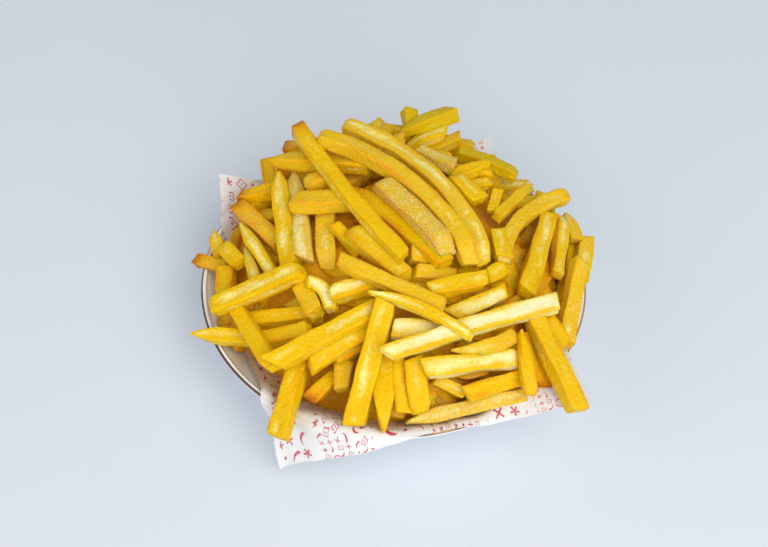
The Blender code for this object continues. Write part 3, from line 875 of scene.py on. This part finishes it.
def fried_potato(name, painted_shade=0.0):
    """Oily fried skin: cream in the middle of its faces as a painted highlight, golden towards the edges
    partly from crisping and partly as a painted glow, toasted tips; the second argument darkens it all as
    painted shade.
    """
    material, tree, shader = finish_material(
        name, 0.42, Subsurface_Weight=0.5, Subsurface_Scale=3 * MM, Coat_Weight=0.12, Coat_Roughness=0.12)
    shader.inputs["Subsurface Radius"].default_value = (1.0, 0.5, 0.08)
    shader.inputs["Specular IOR Level"].default_value = 0.08
    place = add(tree, "Attribute", attribute_name="fibre").outputs["Vector"]
    crust = add(tree, "Attribute", attribute_name="crust")
    tone, edge, browned = add(tree, "SeparateColor", {0: crust.outputs["Color"]}).outputs
    floury = crust.outputs["Alpha"]
    marks = add(tree, "Group", {"Place": place, "Blister Size": 1.7 * MM, "Fleck Share": 0.05},
                node_tree=MARKS).outputs
    # painted shade: the second argument darkens the whole skin, for the fries deep in the heap and for the
    # filling
    mottle_and_shade = maths(tree, "MULTIPLY_ADD", marks["Mottle"], 1.5, painted_shade - 0.75)
    # partly painted highlight: the middles of the faces are painted paler; the edges go golden, partly real
    # crisping and partly painted glow
    face_highlight_and_crisp_edges = maths(tree, "MULTIPLY_ADD", edge, 0.4, -0.16)
    fried = maths(tree, "ADD", maths(tree, "ADD", tone, mottle_and_shade), face_highlight_and_crisp_edges)
    colour = blend(tree, span(tree, fried, -0.4, 0.0), PALE, CREAM)
    colour = blend(tree, span(tree, fried, -0.1, 0.2), colour, GOLDEN)
    colour = blend(tree, span(tree, fried, 0.38, 0.9), colour, AMBER)
    mealy = product(tree, marks["Meal"], maths(tree, "MAXIMUM", floury, 0.0))
    colour = blend(tree, product(tree, mealy, 0.7), colour, MEAL)
    green = maths(tree, "MAXIMUM", product(tree, floury, -0.7), 0.0)
    colour = blend(tree, green, colour, OLIVE)
    crisp = product(tree, edge, span(tree, marks["Mottle"], 0.5, 0.65))
    colour = blend(tree, product(tree, crisp, 0.3), colour, AMBER)
    toast = product(tree, browned, maths(tree, "ADD", marks["Mottle"], 0.35))
    colour = blend(tree, span(tree, toast, 0.1, 0.6), colour, AMBER)
    colour = blend(tree, span(tree, toast, 0.42, 0.95), colour, TOASTED)
    colour = blend(tree, product(tree, marks["Flecks"], 0.75), colour, SCORCH)
    tree.links.new(colour, shader.inputs["Base Color"])
    dry = maths(tree, "MULTIPLY_ADD", mealy, 0.25, span(tree, marks["Mottle"], 0.3, 0.7, 0.34, 0.52))
    tree.links.new(dry, shader.inputs["Roughness"])
    grit = product(tree, marks["Meal"], maths(tree, "MULTIPLY_ADD", mealy, 0.7, 0.2))
    relief = maths(tree, "MULTIPLY_ADD", marks["Blisters"], 0.6, grit)
    bumped(tree, shader, relief, 0.5 * MM, 0.9)
    return material


laid_fries = settled((*behind(), *FRIES))
fries = heap_of("fries", laid_fries, spacing=1.9, ring_of_points=section(3),
                material=fried_potato("fried_potato"), seed=3)

# Under them lie the fries that went in first. Only glimpses of these show through the gaps.
UNDER_SEED = 11
UNDER_COUNT = 240
UNDER_DEPTH = (9, 14)  # of their middles below the heap's surface, roughly
HALF_FRY = 5  # about half a fry's thickness
UNDER_SPREAD = 92  # how far from the dish's middle their own middles lie
UNDER_REACH = 95  # and their tips
UNDER_TURN = 60
UNDER_HALF_LENGTHS = (7, 23)
UNDER_WIDTHS = (8, 10)
UNDER_BOW = 3
UNDER_TONES = (-0.3, 0.8)
BARE_BEARING = math.radians(232)  # at the front left the paper shows between the fries
BARE_SPREAD = math.radians(30)
BARE_LIMIT = 0.35
BARE_FROM = 52
BARE_MARGIN = 8
BARE_OVER = 24
BARE_DEPTH = 26


def bareness(bearing):
    """How much of the paper shows at a bearing, from 0 to 1."""
    beside = (bearing - BARE_BEARING + math.pi) % (2 * math.pi) - math.pi
    return math.exp(-(beside / BARE_SPREAD) ** 2)


def underneath():
    """Fries scattered evenly below the heap's surface, each lying along the slope."""
    chance = random.Random(UNDER_SEED)
    rows = []
    for i in range(UNDER_COUNT):
        reach = UNDER_SPREAD * math.sqrt((i + 0.5) / UNDER_COUNT)
        bearing = i * math.pi * (3 - math.sqrt(5)) + chance.uniform(-0.2, 0.2)
        if reach > BARE_FROM + BARE_MARGIN and bareness(bearing) > BARE_LIMIT:
            continue
        back = HEAP_BACK * (1 - reach / UNDER_SPREAD)
        middle = Vector((reach * math.cos(bearing), reach * math.sin(bearing) + back))
        heading = bearing + math.radians(90 + chance.uniform(-UNDER_TURN, UNDER_TURN))
        half = Vector((math.cos(heading), math.sin(heading))) * chance.uniform(*UNDER_HALF_LENGTHS)
        one, other = middle - half, middle + half
        for tip in (one, other):
            tip *= min(1, UNDER_REACH / tip.length)
        depth = chance.uniform(*UNDER_DEPTH) - HALF_FRY
        row = *one, mound(*one) - depth, *other, mound(*other) - depth, chance.uniform(*UNDER_WIDTHS)
        ends = chance.choice("ssrp") + chance.choice("ssrb")
        rows.append((*row, chance.uniform(-UNDER_BOW, UNDER_BOW), chance.uniform(*UNDER_TONES), ends))
    return [Fry(*row) for row in rows]


def finely(fry):
    """Places in plan and heights along a fry's middle, at four times its steps."""
    steps = np.arange(len(fry.plan))
    fine = np.linspace(0, steps[-1], 4 * steps[-1] + 1)
    plan = np.column_stack([np.interp(fine, steps, axis) for axis in fry.plan.T])
    return plan, np.interp(fine, steps, fry.heights())


def tucked(hidden, seen):
    """Lowers each hidden fry until it lies under every one that crosses it and is seen."""
    over_them = [(finely(fry), fry) for fry in seen]
    for fry in hidden:
        plan, heights = finely(fry)
        drop = 0.0
        for (other_plan, other_heights), other in over_them:
            apart = np.linalg.norm(plan[:, None] - other_plan[None], axis=2)
            room = (fry.thickness + other.thickness) / 2 - SQUASH
            short = heights[:, None] + room - other_heights[None]
            drop = max(drop, short[apart < (fry.width + other.width) / 2].max(initial=0.0))
        fry.ends -= drop
    return hidden


hidden_fries = tucked(underneath(), laid_fries)
# painted shade: the fries underneath get a darker copy of the fried skin
under_fries = heap_of("fries_underneath", hidden_fries, spacing=4.0, ring_of_points=section(1),
                      material=fried_potato("fried_potato_shaded_deep", painted_shade=0.22), seed=5)

# The filling of the dish below them all, closed by a lumpy top that no light reaches. It is coloured as a
# darker, browner fried skin, as painted shade.
CORE_RADIUS = 90
CORE_DEPTH = 24
CORE_LOWER_RINGS = 13
CORE_RINGS = 36
CORE_ROUND = 96
CORE_LUMP_SIZE = 14
CORE_LUMP_HEIGHT = 4
# painted shade: an amber, browned crust that darkens the filling
CORE_SHADED_CRUST = (0.8, 0.3, 0.5, 0.2)


def filling():
    """A lumpy mound that stands on the paper and stops below the scattered fries."""
    verts = [(0, 0, FLOOR_THICKNESS + PAPER_ROOM * MM)]
    rings = []
    lower = np.linspace(0, CORE_RADIUS, CORE_LOWER_RINGS)[1:]
    upper = np.linspace(CORE_RADIUS, 0, CORE_RINGS)[1:-1]
    heights = [(radius, wall_height(radius * MM), False) for radius in lower]
    heights += [(radius, mound(radius, HEAP_BACK) - CORE_DEPTH, True) for radius in upper]
    for radius, height, lumpy in heights:
        rings.append(range(len(verts), len(verts) + CORE_ROUND))
        for i in range(CORE_ROUND):
            angle = 2 * math.pi * i / CORE_ROUND
            x, y = radius * math.cos(angle), radius * math.sin(angle)
            z = height
            if lumpy:
                ridge = 1 - 2 * abs(noise.noise(Vector((x, y, 0)) / CORE_LUMP_SIZE))
                sunk = bareness(angle) * BARE_DEPTH * min(max((radius - BARE_FROM) / BARE_OVER, 0), 1)
                z = max(height + ridge * CORE_LUMP_HEIGHT - sunk, wall_height(radius * MM))
            verts.append((x * MM, y * MM, LIP_HEIGHT + z * MM))
    verts.append((0, 0, LIP_HEIGHT + (HEAP_TOP - CORE_DEPTH) * MM))
    faces = closed(rings, 0, len(verts) - 1)
    material = fried_potato("fried_potato_core_shaded", painted_shade=0.5)
    return fried_body("heap_filling", verts, faces, [CORE_SHADED_CRUST] * len(verts), verts, material)


heap_filling = filling()
for piece in (fries, under_fries, heap_filling):
    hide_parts("fries_heap")
    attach(piece, "root")

# -----------------------------------------------------------------------------
# THE TABLE AND THE LIGHT
# A table top of pale matt laminate by a big window, high up at the front right. A white card
# in front and a white wall on the left throw its light back, and the rest is even daylight.
# The portion is looked down on from the diner's side, at a little under fifty degrees.
# -----------------------------------------------------------------------------
TABLE_REACH = 3.0
LAMINATE = (0.70, 0.75, 0.82)
LAMINATE_CLOUDY = (0.68, 0.73, 0.80)
LIT_MIDDLE = Vector((0, 0, 0.04))
LENS = 69.5  # mm, for a picture 36 mm wide
SIGHT_ANGLE = math.radians(49.2)
SIGHT_DISTANCE = 0.81
SIGHT_LEFT = 5.2 * MM
SIGHT_RAISED = 2.2 * MM


def table_top():
    corners = [(TABLE_REACH * x, TABLE_REACH * y, 0) for x, y in ((-1, -1), (1, -1), (1, 1), (-1, 1))]
    top = smooth_body("table_top", corners, [(0, 1, 2, 3)])
    material, tree, shader = finish_material("matt_laminate", 0.55)
    where = add(tree, "TexCoord").outputs["Object"]
    cloudy = grain(tree, where, 120 * MM, 3)
    tree.links.new(blend(tree, cloudy, LAMINATE, LAMINATE_CLOUDY), shader.inputs["Base Color"])
    bumped(tree, shader, grain(tree, where, 0.6 * MM, 2), 0.02 * MM, 0.3)
    top.data.materials.append(material)


def soft_light(name, place, size, power, colour):
    light = bpy.data.lights.new(name, "AREA")
    light.size = size
    light.energy = power
    light.color = colour
    lamp = bpy.data.objects.new(name, light)
    lamp.location = place
    lamp.rotation_euler = (LIT_MIDDLE - Vector(place)).to_track_quat("-Z", "Y").to_euler()
    bpy.context.scene.collection.objects.link(lamp)


table_top()
soft_light("window", (1.4, -1.3, 2.7), 2.0, 37, (1.0, 0.98, 0.93))
soft_light("card", (0.3, -1.15, 0.8), 1.0, 9.5, (1.0, 0.98, 0.94))
soft_light("white_wall", (-1.5, -0.9, 1.1), 1.6, 9, (1.0, 0.99, 0.97))

world = bpy.data.worlds.new("daylight")
bpy.context.scene.world = world
world.use_nodes = True
sky = world.node_tree.nodes["Background"]
sky.inputs["Color"].default_value = (0.95, 0.97, 1.0, 1)
sky.inputs["Strength"].default_value = 0.48
bpy.context.scene.view_settings.view_transform = "Standard"

camera_data = bpy.data.cameras.new("camera")
camera_data.lens = LENS
camera_data.sensor_width = 36
camera = bpy.data.objects.new("camera", camera_data)
backwards = Vector((0, -math.cos(SIGHT_ANGLE), math.sin(SIGHT_ANGLE)))
upwards = Vector((0, math.sin(SIGHT_ANGLE), math.cos(SIGHT_ANGLE)))
lip_middle = Vector((0, 0, LIP_HEIGHT))
camera.location = lip_middle + backwards * SIGHT_DISTANCE + upwards * SIGHT_RAISED
camera.location.x -= SIGHT_LEFT
camera.rotation_euler.x = math.pi / 2 - SIGHT_ANGLE
bpy.context.scene.collection.objects.link(camera)
bpy.context.scene.camera = camera
